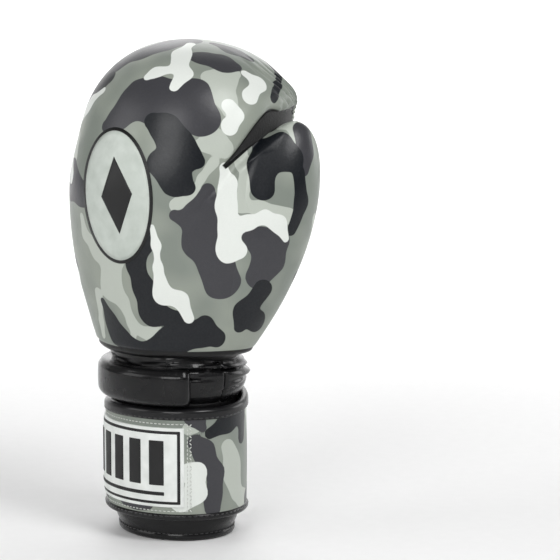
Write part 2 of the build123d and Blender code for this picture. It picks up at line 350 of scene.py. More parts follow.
# The fist's gathered edge runs round the thumb's tip, from the crease in front of it to the palm.
GATHER_Z = 214.0
GATHER_ACROSS = np.array([-OUTWARD[1], OUTWARD[0], 0.0])
CREASE_TIP, CREASE_WAY = np.array([29.5, 212.0]), np.array([0.733, 0.68])

# Where the leather is drawn in at the crease's top end, and two directions across the surface there.
GATHER_DEPTH = 22.0
GATHER_TOP = RIGHT * 64.0 + UP * 242.0 + TOWARDS * GATHER_DEPTH
GATHER_AXIS = RIGHT * 0.66 + TOWARDS * 0.66 + UP * 0.36
GATHER_SIDE = np.cross(UP, GATHER_AXIS) / np.linalg.norm(np.cross(UP, GATHER_AXIS))
GATHER_RISE = np.cross(GATHER_AXIS, GATHER_SIDE)


def thumb_turn(p):
    """The angle round the thumb's tip, from the thumb's side: 0 is the palm's side and pi the back's."""
    return np.arctan2(p[:, 2] - GATHER_Z, (p - THUMB_C) @ GATHER_ACROSS)


def frontness(p):
    """1 on the side of the thumb that faces the camera, 0 on the palm's side."""
    return ramp(-((p - THUMB_C) @ GATHER_ACROSS), -6, 6)


def crease_view(p):
    """How far each point is along the crease and below it, as the camera sees it."""
    view = np.stack([p @ RIGHT, p @ UP], 1) - CREASE_TIP
    return view @ CREASE_WAY, view[:, 0] * CREASE_WAY[1] - view[:, 1] * CREASE_WAY[0]


def edge_gap(p):
    """How far a point of the fist is outside the edge where it meets the thumb, measured from the crease on the
    camera's side and from the thumb itself on the palm's side."""
    front = frontness(p)
    return -crease_view(p)[1] * front + thumb_outside(p) * (1 - front)


def tape_width(p):
    """How wide the black tape is between the gathered edge and the thumb."""
    front = frontness(p)
    along = crease_view(p)[0]
    return front * (0.6 + 6.6 * ramp(along, 0, 44)) + (1 - front) * 7.2


def radial_pleats(p, count):
    """Folds that fan out from the crease's top end: their height, 0 to 1, and how far each point is away."""
    q = p - GATHER_TOP
    side, rise = q @ GATHER_SIDE, q @ GATHER_RISE
    away = np.sqrt((q**2).sum(1))
    angle = np.arctan2(rise, side) + 0.010 * away
    wander = 0.10 * waviness(p, 22) + 0.03 * waviness(p + 50, 9)
    return np.abs(np.sin((angle + wander) * count / 2)) ** 0.8, away


FIST_FOLDS, THUMB_FOLDS, PALM_FOLD_RATE = 27, 31, 19.0
FAN_HEIGHT, ROW_HEIGHT, PUCKER_HEIGHT = 3.6, 1.7, 1.2


def gathers(p, gap):
    """Pleats of the fist's leather, drawn in at the crease's top end and along the thumb's palm side."""
    front = frontness(p)
    fan, away = radial_pleats(p, FIST_FOLDS)
    near = np.exp(-((np.clip(away - 6, 0, None) / 30) ** 2)) * ramp(away, 1, 6) * ramp(gap, -1, 2)
    uneven = np.clip(0.8 + 0.7 * waviness(p + 20, 26), 0.15, 1.5)
    wander = 0.07 * waviness(p, 20)
    row = np.abs(np.sin((thumb_turn(p) + wander) * PALM_FOLD_RATE)) ** 0.8
    along_palm = np.exp(-((np.clip(gap, 0, None) / 17) ** 1.6))
    along_palm = along_palm * ramp(p[:, 2], 208, 226) * ramp(gap, -4, 0.5)
    along_palm = along_palm * (1 - front) * (1 - np.clip(near * 1.5, 0, 1))
    return uneven * ((fan - 0.55) * near * FAN_HEIGHT + (row - 0.55) * along_palm * ROW_HEIGHT)


def thumb_skin(p):
    """The distance outside the thumb's leather, puckered where it is drawn into the crease's top end."""
    fan, away = radial_pleats(p, THUMB_FOLDS)
    near = np.exp(-((np.clip(away - 5, 0, None) / 13) ** 2)) * ramp(away, 1, 7)
    pucker = near * (fan - 0.6) * np.clip(0.9 + waviness(p, 18), 0.2, 1.5)
    return thumb_outside(p) + 0.25 * waviness(p, 26) - PUCKER_HEIGHT * pucker


SEAM_SLOPE = 0.3536


def seam_side(p):
    """How far a point is past the seam between the fist and the thumb, towards the thumb's outer side."""
    return (p - THUMB_C) @ OUTWARD - SEAM_SLOPE * (p[:, 2] - THUMB_C[2])


def past_seam(side):
    """Where the fist's leather sinks under the thumb's: 0 on the fist's side of the seam and 1 past it."""
    return ramp(side, -18, 8)


UNDERLAP, HEM_GROOVE, TAPE_GROOVE, LEATHER_WAVE = 0.4, 0.8, 3.2, 0.35


def printed_skin(p, palm_cut):
    """The fist's leather run into the thumb's, below the crease. palm_cut sinks the thumb's part of it."""
    x, y, z = p.T
    gap = edge_gap(p)
    front = frontness(p)
    along, below = crease_view(p)
    body = outline(p, FIST)
    body = smooth_max(body, HAND_BOTTOM + 1.5 - z, 7)
    body = body + HEM_GROOVE * np.exp(-(((z - HEM_TOP) / 0.9) ** 2))
    width = tape_width(p)
    body = body + LEATHER_WAVE * waviness(p, 34) - gathers(p, gap - width)
    arc = ramp(z, 203, 212) * (front * ramp(along, -6, 10) + 1 - front) * ramp(x + y, 15, 35)
    lip = np.exp(-(((gap - width - 5.5) / 5) ** 2)) * (1.4 - 0.6 * front)
    groove = (1 - ramp(gap, width - 1.2, width + 1.4)) * ramp(gap, -9, -1)
    body = body + arc * (TAPE_GROOVE * groove - lip)
    root = thumb_skin(p) + front * np.clip(3.0 - below, 0, None) * 0.8 + palm_cut
    root = np.where(z < 112, root + (112 - z), root)
    softness = 2.0 + 22 * ramp(below, 1, 9) + 6 * (1 - ramp(along, -14, 4))
    return smooth_min(body, root, softness)


def fist_field(p):
    """The fist's printed leather and padding, with the finger roll over the palm. Past the seam it lies just
    under the thumb's leather."""
    z = p[:, 2]
    front = frontness(p)
    body = printed_skin(p, (1 - front) * np.clip(z - 186, 0, None)) + UNDERLAP * past_seam(seam_side(p))
    rounding = 8 + 8 * ramp(z, 190, 206)
    body = smooth_max(body, -palm_zone(p), rounding)
    seat = ramp(z, 186, 198) * (1 - front)
    body = np.where(seat > 0, smooth_max(body, 0.8 * seat - thumb_outside(p), 2), body)
    return smooth_max(body, -pocket_distance(p), 2)


PALM_CHANNELS = ((-27, 1.0), (-13, 1.7), (1, 1.7), (18, 1.4))


def palm_field(p):
    """The black leather palm, sewn into channels."""
    x, y, z = p.T
    body = outline(p, FIST) + 1.2 + 8.5 * ramp(z, 135, 192) * ramp(y, 12, 26)
    for channel, depth in PALM_CHANNELS:
        centre = channel + 0.05 * (z - 150)
        body = body + depth * np.exp(-(((x - centre) / 2.2) ** 2)) * (1 - ramp(z, 182, 200))
    body = body + 0.5 * waviness(p, 17)
    inner = smooth_max(body, palm_zone(p) + 0.35, 3)
    inner = smooth_max(inner, HAND_BOTTOM + 0.5 - z, 5)
    inner = smooth_max(inner, -(thumb_outside(p) - 0.5), 2)
    return smooth_max(inner, -pocket_distance(p), 1.5)


def thumb_field(p):
    """The padded thumb, hollow and open at its foot into the hand pocket."""
    z = p[:, 2]
    side = seam_side(p)
    own = thumb_skin(p) + 0.3 * (1 - frontness(p)) * ramp(-side, 10, 14)
    own = own + 1.3 * np.exp(-(((side + 13) / 1.6) ** 2)) * ramp(z, 120, 150) * (1 - frontness(p))
    joined = printed_skin(p, 0) + UNDERLAP * (1 - past_seam(side))
    share = frontness(p) * ramp(crease_view(p)[1], 2, 8)
    body = own * (1 - share) + smooth_max(joined, own - 7, 2) * share
    hollow = thumb_distance(p, -THUMB_WALL)
    body = smooth_max(body, -hollow, 2)
    body = smooth_max(body, -(pocket_distance(p) - 2.2), 3)
    return smooth_max(body, 110 - z, 4)


# ---------------------------------------------------------------- materials


def srgb(*channels):
    """A colour given as 0 to 255, as the linear value that shaders use."""
    linear = [((c / 255 + 0.055) / 1.055) ** 2.4 if c > 10 else c / 255 / 12.92 for c in channels]
    return (*linear, 1.0)


class Shader:
    """A new material, with short ways to add the nodes that the materials here use."""

    def __init__(self, name):
        self.material = bpy.data.materials.new(name)
        self.material.use_nodes = True
        self.nodes, self.links = self.material.node_tree.nodes, self.material.node_tree.links
        self.surface = self.nodes["Principled BSDF"]
        self.coords = self.nodes.new("ShaderNodeTexCoord")

    def texture(self, kind, scale, **settings):
        """A texture in the object's own coordinates."""
        node = self.nodes.new(f"ShaderNodeTex{kind}")
        for key, value in {"Scale": scale, **settings}.items():
            node.inputs[key].default_value = value
        self.links.new(self.coords.outputs["Object"], node.inputs["Vector"])
        return node.outputs["Distance" if kind == "Voronoi" else "Fac"]

    def field(self, name):
        """A number stored at each point of the mesh."""
        node = self.nodes.new("ShaderNodeAttribute")
        node.attribute_name = name
        return node.outputs["Fac"]

    def bump(self, height, strength, distance, below=None):
        """The normal of a bump map, laid over another one if below is given."""
        node = self.nodes.new("ShaderNodeBump")
        node.inputs["Strength"].default_value = strength
        node.inputs["Distance"].default_value = distance
        self.links.new(height, node.inputs["Height"])
        if below is not None:
            self.links.new(below, node.inputs["Normal"])
        return node.outputs["Normal"]

    def mapped(self, value, low, high, to_low, to_high):
        """A value taken from one range to another and held inside it."""
        node = self.nodes.new("ShaderNodeMapRange")
        ends = {"From Min": low, "From Max": high, "To Min": to_low, "To Max": to_high}
        for key, number in ends.items():
            node.inputs[key].default_value = number
        self.links.new(value, node.inputs["Value"])
        return node.outputs["Result"]

    def mixed(self, value, low, high, first, second, most=1):
        """first where value is under low, running into second where it is over high, or into most of it."""
        node = self.nodes.new("ShaderNodeMix")
        node.data_type = "RGBA"
        self.links.new(self.mapped(value, low, high, 0, most), node.inputs["Factor"])
        for colour, socket in ((first, node.inputs[6]), (second, node.inputs[7])):
            if isinstance(colour, tuple):
                socket.default_value = colour
            else:
                self.links.new(colour, socket)
        return node.outputs[2]

    def leather_finish(self, grain, grain_depth, rough_low, rough_high):
        """Pebble grain, fine creasing and uneven polish on a coated leather."""
        pebble = self.texture("Voronoi", grain)
        crease = self.texture("Noise", grain * 0.16, Detail=6.0, Roughness=0.6)
        polish = self.texture("Noise", 38.0, Detail=4.0)
        lower = self.bump(crease, 0.16, 0.0009)
        self.driven("Normal", self.bump(pebble, grain_depth, 0.00018, lower))
        self.driven("Roughness", self.mapped(polish, 0.3, 0.7, rough_low, rough_high))

    def driven(self, key, value):
        """Joins a node's output to one of the surface's sockets."""
        self.links.new(value, self.surface.inputs[key])

    def constant(self, **values):
        """Sets the surface's own sockets, whose names are written here with _ for a space."""
        for key, value in values.items():
            self.surface.inputs[key.replace("_", " ")].default_value = value


WHITE, LIGHT = srgb(226, 230, 225), srgb(184, 190, 181)
BASE_GREEN, BASE_PALE = srgb(128, 135, 127), srgb(148, 154, 144)
DARK, NAVY = srgb(60, 60, 64), srgb(13, 17, 23)
BLACK, WORN_BLACK, FLECK = srgb(9, 9, 10), srgb(13, 13, 14), srgb(120, 122, 120)
LAYERS = (("camo_light", LIGHT), ("camo_dark", DARK), ("camo_navy", NAVY), ("camo_white", WHITE))
PRINT_EDGE = 0.15


def camouflage_leather():
    """Printed coated leather: each colour fills where its field is above zero."""
    shader = Shader("camouflage_leather")
    tone = shader.texture("Noise", 22.0, Detail=2.0)
    colour = shader.mixed(tone, 0.42, 0.6, BASE_GREEN, BASE_PALE)
    for name, paint in LAYERS:
        colour = shader.mixed(shader.field(name), -PRINT_EDGE, PRINT_EDGE, colour, paint)
    fleck = shader.texture("Noise", 900.0, Detail=2.0)
    colour = shader.mixed(fleck, 0.3, 0.75, colour, FLECK, most=0.03)
    colour = shader.mixed(shader.field("black_part"), -PRINT_EDGE, PRINT_EDGE, colour, BLACK)
    shader.driven("Base Color", colour)
    shader.leather_finish(1500.0, 0.12, 0.30, 0.40)
    shader.constant(Specular_IOR_Level=0.3, Coat_Weight=0.10, Coat_Roughness=0.22)
    return shader.material


def black_leather(name, rough_low, rough_high, grain=1300.0, depth=0.5, colour=(0.0055, 0.0055, 0.006, 1)):
    """Coated black leather with a glossy top."""
    shader = Shader(name)
    tone = shader.texture("Noise", 60.0, Detail=4.0)
    shader.driven("Base Color", shader.mixed(tone, 0.35, 0.7, colour, WORN_BLACK))
    shader.leather_finish(grain, depth, rough_low, rough_high)
    shader.constant(Specular_IOR_Level=0.15, Coat_Weight=0.35, Coat_Roughness=0.10)
    return shader.material


def woven(name, dark, pale, scale=900.0, rough=0.85):
    """A dull fabric or pile."""
    shader = Shader(name)
    weave = shader.texture("Voronoi", scale)
    cloud = shader.texture("Noise", scale * 0.3, Detail=5.0)
    shader.driven("Base Color", shader.mixed(weave, 0.1, 0.7, dark, pale))
    lower = shader.bump(cloud, 0.5, 0.0004)
    shader.driven("Normal", shader.bump(weave, 0.6, 0.0003, lower))
    shader.constant(Roughness=rough, Sheen_Weight=0.2)
    return shader.material


def moulded(name, colour, scuffed, rough):
    """A moulded or printed plastic with slight mottling and scuffs."""
    shader = Shader(name)
    cloud = shader.texture("Noise", 120.0, Detail=6.0)
    fine = shader.texture("Noise", 1400.0, Detail=3.0)
    shader.driven("Base Color", shader.mixed(cloud, 0.35, 0.75, colour, scuffed))
    shader.driven("Roughness", shader.mapped(cloud, 0.3, 0.7, rough, rough + 0.12))
    shader.driven("Normal", shader.bump(fine, 0.15, 0.0002))
    return shader.material


camo = camouflage_leather()
black = black_leather("black_leather", 0.22, 0.34)
palm_black = black_leather("palm_leather", 0.20, 0.36, 900.0, 0.7)
trim_black = black_leather("trim_leather", 0.28, 0.40, 1600.0, 0.35, (0.010, 0.010, 0.011, 1))
lining_cloth = woven("lining_cloth", srgb(16, 16, 18), srgb(36, 36, 40))
pile = woven("pile", srgb(10, 10, 11), srgb(30, 30, 32), 1600.0, 0.95)
tape_cloth = woven("tape_cloth", srgb(5, 5, 6), srgb(14, 14, 15), 1400.0, 0.8)
white_label = moulded("white_label", srgb(232, 235, 232), srgb(214, 218, 214), 0.35)
black_print = moulded("black_print", srgb(5, 5, 6), srgb(12, 12, 13), 0.45)
grey_print = moulded("grey_print", srgb(196, 203, 196), srgb(178, 186, 178), 0.35)
thread_pale = woven("thread_pale", srgb(170, 174, 168), srgb(222, 225, 220), 2500.0, 0.6)
thread_black = woven("thread_black", srgb(10, 10, 11), srgb(34, 34, 36), 2500.0, 0.5)

# ---------------------------------------------------------------- camouflage strokes
# Brush strokes laid on the side that faces the camera, under the names of their colours. Each is a chain of
# (across, height, radius) in mm: how far right of the cuff's middle and above the floor the camera sees it.
FIST_STROKES = {
    "camo_light": [
        [(21, 264, 4), (29, 262, 8), (36, 266, 4)],
        [(29, 261, 6), (29, 253, 7), (33, 245, 5)],
        [(16, 224, 3), (24, 226, 6.5), (31, 222, 5)],
        [(24, 214, 3), (17, 205, 2.4), (12, 196, 4), (3, 190, 3)],
        [(57, 240, 4), (66, 237, 5), (73, 228, 4.5), (72, 221, 2)],
        [(39, 221, 5), (41, 203, 3.6), (40, 190, 4), (50, 188, 4), (66, 184, 5)],
        [(-53, 184, 1.6), (-51, 174, 3.6), (-44, 166, 6.5), (-35, 160, 7), (-36, 143, 8), (-30, 136, 6)],
        [(-24, 186, 2.6), (-26, 170, 3.4), (-31, 160, 5)],
        [(-44, 140, 3.2), (-43, 124, 2.5), (-41.6, 116, 1.5)],
        [(-29, 134, 5), (-24, 123, 4), (-18, 118, 3), (-11, 116, 4.6), (-7, 119, 2)],
        [(-23, 120, 3), (-23, 110, 1.2)],
    ],
    "camo_dark": [
        [(-43, 268, 5), (-30, 274, 8), (-18, 280, 9), (-5, 284, 10), (9, 287, 8)],
        [(-38, 236, 3), (-30, 241, 8), (-22, 250, 11), (-7, 249, 14), (9, 248, 15), (17, 240, 11)],
        [(-21, 258, 5), (-8, 259, 6)],
        [(-60, 206, 13), (-52, 197, 7)],
        [(20, 199, 4), (16, 184, 9), (19, 170, 12), (24, 158, 10), (30, 146, 10)],
        [(2, 184, 2.5), (14, 180, 7)],
        [(74, 234, 6), (77, 221, 6), (75, 211, 4)],
        [(19, 275, 8), (29, 272, 7), (37, 270, 4)],
        [(44, 173, 4), (52, 168, 9), (60, 169, 7), (55, 158, 10), (50, 150, 8)],
    ],
    "camo_navy": [
        [(23, 285, 3), (34, 281, 6), (43, 276, 4)],
        [(-37, 265, 5), (-45, 258, 9), (-54, 249, 8)],
        [(-11, 238, 5), (-3, 233, 8), (3, 223, 10), (9, 217, 8), (16, 214, 3)],
        [(-6, 214, 8), (3, 205, 9), (10, 200, 5)],
        [(-16, 179, 4.5), (-15, 168, 5), (-21, 156, 6), (-17, 143, 7), (-12, 129, 8), (1, 126, 5)],
        [(-41, 135, 1.6), (-36, 124, 6), (-32, 115, 8), (-22, 108, 5), (-12, 106, 6.5), (1, 113, 9),
         (14, 115, 8)],
        [(14, 115, 7), (20, 123, 3.6), (25, 115, 5)],
        [(48, 229, 3.6), (54, 222, 8.5), (62, 226, 6.5), (66, 217, 8), (52, 214, 8), (52, 200, 7)],
        [(72, 208, 4), (74, 192, 4), (68, 176, 3)],
        [(52, 142, 6), (43, 131, 7), (39, 120, 4.5)],
        [(54, 276, 2.4), (59, 269, 3.4), (60, 260, 3.2), (58, 252, 2.4)],
    ],
    "camo_white": [
        [(10, 284, 2.4), (5, 279, 4), (4, 270, 5), (7, 266, 5), (2, 257, 3)],
        [(5, 268, 4), (-9, 267, 4.2), (-14, 264, 2)],
        [(-41, 257, 2.4), (-49, 250, 4.4), (-57, 240, 4.0), (-61, 224, 5), (-60, 209, 4)],
        [(42, 266, 3.6), (49, 260, 4.6), (45, 253, 4.6)],
        [(32, 247, 4.4), (38, 240, 3), (34, 235, 5.4)],
        [(30, 211, 3.2), (33, 203, 5), (32, 188, 5), (33, 178, 6), (32, 165, 6.4), (39, 164, 4.6)],
        [(34, 178, 5), (43, 181, 3.6), (53, 184, 3.2), (61, 180, 4.4), (65, 171, 1.8)],
        [(-11, 178, 1), (-9, 167, 2.4), (-8, 155, 3), (-5, 139, 5), (4, 137, 5), (9, 126, 1.8)],
    ],
}
STRAP_STROKES = {
    "camo_light": [
        [(9, 61, 3), (13, 62, 3)],
        [(31, 50, 6), (34, 38, 8), (36, 24, 7)],
    ],
    "camo_dark": [
        [(0, 72, 5), (13, 70, 6), (17, 62, 3)],
        [(13, 53, 5), (18, 48, 6), (24, 37, 6), (23, 22, 5), (23, 14, 5)],
        [(-30, 20, 5), (-16, 18, 5)],
    ],
    "camo_navy": [
        [(21, 59, 3.6), (31, 65, 7), (39, 71, 6), (39, 56, 4)],
    ],
    "camo_white": [
        [(9, 35, 6), (14, 35, 5), (13, 25, 6), (3, 19, 6)],
    ],
}
SEEDED_LAYERS = ("camo_light", "camo_dark", "camo_navy", "camo_dark", "camo_navy", "camo_white")
WIDE_STROKE, THIN_STROKE = (3.5, 9.0), (2.5, 5.0)
STROKE_STEP, STROKE_TAPER, STROKE_WANDER = (9, 16), (0.35, 1.15), 0.9
ABOUT_FRONT, CLEARLY_FRONT = 0.15, 0.3
STROKE_MIDDLE = 200.0


def on_surface(tree, across, height):
    """Where the camera's line through a place in its view meets a surface, in mm."""
    start = RIGHT * across + UP * height + TOWARDS * 400
    hit = tree.ray_cast(Vector(start * MM), Vector(-TOWARDS))[0]
    return None if hit is None else np.array(hit) / MM


def near_surface(tree, across, height):
    """As on_surface, but a place just past the outline is drawn in until it meets the surface."""
    for share in np.linspace(1, 0.9, 11):
        at = on_surface(tree, across * share, STROKE_MIDDLE + (height - STROKE_MIDDLE) * share)
        if at is not None:
            return at
    return None


def laid_strokes(strokes, tree):
    """Chains of (point in mm, radius) on the surface for each stroke."""
    laid = []
    for layer, chains in strokes.items():
        for chain in chains:
            found = [(near_surface(tree, u, z), r) for u, z, r in chain]
            laid.append((layer, [(at, r) for at, r in found if at is not None]))
    return laid


def nearest(points, at):
    """The number of the point nearest to a place."""
    return np.argmin(((points - at) ** 2).sum(1))


def seeded_strokes(points, normals, count, seed):
    """Random strokes over the sides that the camera doesn't see, in the same sizes and colours."""
    rng = np.random.default_rng(seed)
    laid = []
    open_side = np.nonzero(normals @ TOWARDS < ABOUT_FRONT)[0]
    for number in range(count):
        layer = SEEDED_LAYERS[number % len(SEEDED_LAYERS)]
        at = points[rng.choice(open_side)]
        heading = rng.normal(size=3)
        radius = rng.uniform(*(THIN_STROKE if layer == "camo_white" else WIDE_STROKE))
        chain = [(at, radius)]
        for _ in range(rng.integers(1, 4)):
            heading = heading + rng.normal(size=3) * STROKE_WANDER
            normal = normals[nearest(points, at)]
            flat = heading - normal * (heading @ normal)
            at = at + flat / np.linalg.norm(flat) * rng.uniform(*STROKE_STEP)
            at = points[nearest(points, at)]
            chain.append((at, radius * rng.uniform(*STROKE_TAPER)))
        facing = [normals[nearest(points, at)] @ TOWARDS for at, _ in chain]
        if max(facing) < CLEARLY_FRONT:
            laid.append((layer, chain))
    return laid


def stroke_fields(points, laid):
    """How far inside its nearest stroke each point is, for every colour."""
    fields = {name: np.full(len(points), -9.0) for name, _ in LAYERS}
    wobble = 0.9 * waviness(points, 11)
    for layer, chain in laid:
        best = np.full(len(points), -40.0)
        for (a, ra), (b, rb) in zip(chain, chain[1:] if len(chain) > 1 else chain):
            way = b - a
            t = np.clip(((points - a) @ way) / max(way @ way, 1e-6), 0, 1)
            distance = np.linalg.norm(points - (a + t[:, None] * way), axis=1)
            best = smooth_max(best, ra + (rb - ra) * t - distance, 4.0)
        fields[layer] = smooth_max(fields[layer], best + wobble, 2.5)
    return fields


def paint_camouflage(obj, laid):
    """Stores a field for each colour on a mesh."""
    points = points_of(obj)
    for name, values in stroke_fields(points, laid).items():
        set_field(obj, name, values)


# ---------------------------------------------------------------- fist, palm and thumb
SKIN_CELL, PALM_CELL = 1.05, 1.4
FIST_ROOM = (-74, -66, 100), (84, 86, 296)
THUMB_ROOM = (10, -12, 104), (100, 76, 254)
PALM_ROOM = (-64, 8, 104), (66, 64, 214)


def field_piece(name, field, room, cell, material):
    """An object from the surface where a field is zero inside a box, and that surface's points."""
    points, quads = surface_of(field, *room, cell)
    return mesh_object(name, points, quads, material), points


fist, fist_points = field_piece("fist_leather", fist_field, FIST_ROOM, SKIN_CELL, camo)
thumb, thumb_points = field_piece("thumb_leather", thumb_field, THUMB_ROOM, SKIN_CELL, camo)
palm, _ = field_piece("palm_leather", palm_field, PALM_ROOM, PALM_CELL, palm_black)


def tree_of(*objects):
    """One ray-casting tree over several meshes."""
    vertices, polygons = [], []
    for obj in objects:
        start = len(vertices)
        vertices += [v.co.copy() for v in obj.data.vertices]
        polygons += [[start + i for i in p.vertices] for p in obj.data.polygons]
    return BVHTree.FromPolygons(vertices, polygons)


def normals_of(obj):
    """The normal at each of a mesh's points."""
    normals = np.empty(len(obj.data.vertices) * 3, np.float32)
    obj.data.vertices.foreach_get("normal", normals)
    return normals.reshape(-1, 3).astype(float)


hand_tree = tree_of(fist, thumb)
hand_points = np.concatenate([fist_points, thumb_points])
hand_normals = np.concatenate([normals_of(fist), normals_of(thumb)])
skin = outline(hand_points, FIST) > -2.5
skin |= (np.abs(thumb_outside(hand_points)) < 1.5) & (outline(hand_points, FIST) > 0)
hand_strokes = laid_strokes(FIST_STROKES, hand_tree)
EVERY_HAND_POINT, EVERY_STRAP_POINT = 7, 3
HAND_STROKE_COUNT, HAND_SEED, STRAP_STROKE_COUNT, STRAP_SEED = 130, 21, 60, 33
few = slice(None, None, EVERY_HAND_POINT)
hand_sample = hand_points[skin][few], hand_normals[skin][few]
hand_strokes += seeded_strokes(*hand_sample, HAND_STROKE_COUNT, HAND_SEED)
paint_camouflage(fist, hand_strokes)
paint_camouflage(thumb, hand_strokes)
NO_LIMIT = 9


def fist_black(p):
    """Above zero in the fist's black parts: the hand pocket, the crease behind the thumb, the hem and a strip
    beside the palm."""
    z, gap, front = p[:, 2], edge_gap(p), frontness(p)
    no_limit = NO_LIMIT * (1 - front)
    behind_thumb = np.minimum(tape_width(p) + 0.3 - gap, (z - 206) * 0.5)
    behind_thumb = np.minimum(behind_thumb, crease_view(p)[0] * 0.4 * front + no_limit)
    behind_thumb = np.minimum(behind_thumb, (gap + 2.0) * front + no_limit)
    in_pocket = 2.5 - pocket_distance(p)
    by_palm = 1.2 - np.abs(palm_zone(p)) - 1.5 * (z > 212)
    return np.maximum.reduce([in_pocket, behind_thumb, HEM_TOP - z, by_palm])


def thumb_black(p):
    """Above zero in the thumb's black parts: its inner side, its hem and its hollow."""
    inner = np.minimum(-13.0 - seam_side(p), 20 * (1 - frontness(p)) - 1)
    return np.maximum.reduce([inner, HEM_TOP - p[:, 2], -4 - thumb_outside(p)])


set_field(fist, "black_part", fist_black(fist_points))
set_field(thumb, "black_part", thumb_black(thumb_points))

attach(fist, "hand")
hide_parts("fist_shell", "outer_foam", "inner_foam")
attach(palm, "hand")
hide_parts("palm_shell", "palm_padding")
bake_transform(thumb)
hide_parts("thumb_shell", "thumb_inner_panel", "thumb_foam")

# ---------------------------------------------------------------- bands round the cuff


def cuff_point(degrees, offset, height):
    """A point outside the cuff's shell, at a polar angle and height, and the way straight out there."""
    angle = np.radians(degrees)
    t = np.arctan2(CUFF_A * np.sin(angle), CUFF_B * np.cos(angle))
    out = np.stack([CUFF_B * np.cos(t), CUFF_A * np.sin(t), 0 * t], -1)
    out /= np.linalg.norm(out, axis=-1, keepdims=True)
    on = np.stack([CUFF_A * np.cos(t), CUFF_B * np.sin(t), 0 * t], -1)
    at = on + out * np.asarray(offset)[..., None]
    at[..., 2] = height
    return at, out


def swept(name, sections, material, closed=False):
    """A closed skin through a row of closed sections, each (n, 3) points in mm."""
    sections = np.asarray(sections)
    rows, count = sections.shape[:2]
    points = sections.reshape(-1, 3)
    faces = []
    for i in range(rows if closed else rows - 1):
        a, b = i * count, (i + 1) % rows * count
        faces += [[a + j, a + (j + 1) % count, b + (j + 1) % count, b + j] for j in range(count)]
    if not closed:
        points = np.concatenate([points, sections[:1].mean(1), sections[-1:].mean(1)])
        first, last = rows * count, rows * count + 1
        faces += [[(j + 1) % count, j, first] for j in range(count)]
        start = (rows - 1) * count
        faces += [[start + j, start + (j + 1) % count, last] for j in range(count)]
    obj = mesh_object(name, points, faces, material)
    fix_normals(obj)
    return obj


def fix_normals(obj):
    """Faces turned outwards."""
    work = bmesh.new()
    work.from_mesh(obj.data)
    bmesh.ops.recalc_face_normals(work, faces=work.faces)
    work.to_mesh(obj.data)
    work.free()
    obj.data.set_sharp_from_angle(angle=math.radians(55))


def end_rounding(along):
    """How far a rounded end has drawn in, from 1 at its tip to 0 where along reaches 1."""
    return 1 - math.sqrt(1 - min(1.0, max(0.0, 1 - along)) ** 2)


def rounded_profile(inner, outer, low, high, radius, steps=6, bulge=0.0, side_parts=24):
    """A rounded rectangle in (offset, height), going round once."""
    radius = min(radius, (outer - inner) / 2 - 0.01, (high - low) / 2 - 0.01)
    corners = [(outer - radius, low + radius, -90), (outer - radius, high - radius, 0)]
    corners += [(inner + radius, high - radius, 90), (inner + radius, low + radius, 180)]
    path = []
    for number, (x, z, start) in enumerate(corners):
        for i in range(steps + 1):
            a = math.radians(start + 90 * i / steps)
            path.append((x + radius * math.cos(a), z + radius * math.sin(a)))
        here = np.array(path[-1])
        nx, nz, turn = corners[(number + 1) % 4]
        turn = math.radians(turn)
        there = np.array([nx + radius * math.cos(turn), nz + radius * math.sin(turn)])
        parts = side_parts if number % 2 == 0 else 3
        path += [tuple(here + (there - here) * i / parts) for i in range(1, parts)]
    path = np.array(path)
    middle = (path[:, 1] - low) / (high - low) * 2 - 1
    outer_side = path[:, 0] > (inner + outer) / 2
    path[:, 0] += np.where(outer_side, bulge * (1 - middle**2), 0)
    return path


def strap_top(degrees):
    """The height of the strap's top edge at a polar angle: it climbs from the label to the sewn end."""
    turn = np.array([degrees])
    at, _ = cuff_point(turn, 0.0 * turn, 0.0)
    climb = STRAP_CLIMB * (CUFF_A - at[..., 0]) * ramp(turn, FOLD_LABEL - 14, FOLD_LABEL + 30)
    return float((STRAP_TOP + climb - 1.5 * ramp(turn, -60, -150))[0])


def band_piece(name, start, end, profile_at, material, step=1.5):
    """A band from one polar angle to another. profile_at(angle) gives its (offset, height) section."""
    count = max(3, int(abs(end - start) / step) + 1)
    sections = []
    for degrees in np.linspace(start, end, count):
        profile = profile_at(degrees)
        sections.append(cuff_point(np.full(len(profile), degrees), profile[:, 0], profile[:, 1])[0])
    return swept(name, sections, material)


# The strap's four stretches: from and to which polar angle, the fold line and the bodies on either side of it;
# only the end, which has no fold, rides on its body.
AFTER_PALM, AFTER_THUMB, AFTER_LABEL = (FOLD_PALM + FOLD_THUMB) / 2, (FOLD_THUMB + FOLD_LABEL) / 2, -72.0
STRAP_PIECES = {
    "palm": (SEWN_END, AFTER_PALM, FOLD_PALM, ("cuff", "strap_palm")),
    "thumb": (AFTER_PALM, AFTER_THUMB, FOLD_THUMB, ("strap_palm", "strap_thumb")),
    "label": (AFTER_THUMB, AFTER_LABEL, FOLD_LABEL, ("strap_thumb", "strap_end")),
    "end": (AFTER_LABEL, FREE_END, None, ("strap_end",)),
}
BEND_TURN = 15.0
STRAP_MIDDLE = (STRAP_BOTTOM + STRAP_TOP) / 2


def follow_strap(obj, fold, bodies):
    """Rides a piece on the strap's end; a piece with a fold line only has its transform baked in place."""
    if fold is None:
        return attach(obj, bodies[0])
    middle = np.array([(STRAP_IN + STRAP_OUT) / 2])
    before, _ = cuff_point(np.array([fold + BEND_TURN]), middle, STRAP_MIDDLE)
    after, _ = cuff_point(np.array([fold - BEND_TURN]), middle, STRAP_MIDDLE)
    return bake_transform(obj)


def strap_inner(degrees):
    """The strap's inner face: sewn onto the cuff at its root, and over the hook and loop elsewhere."""
    return float(STRAP_IN - (STRAP_IN - 0.4) * ramp(degrees, FOLD_PALM + 4, FOLD_PALM + 16))


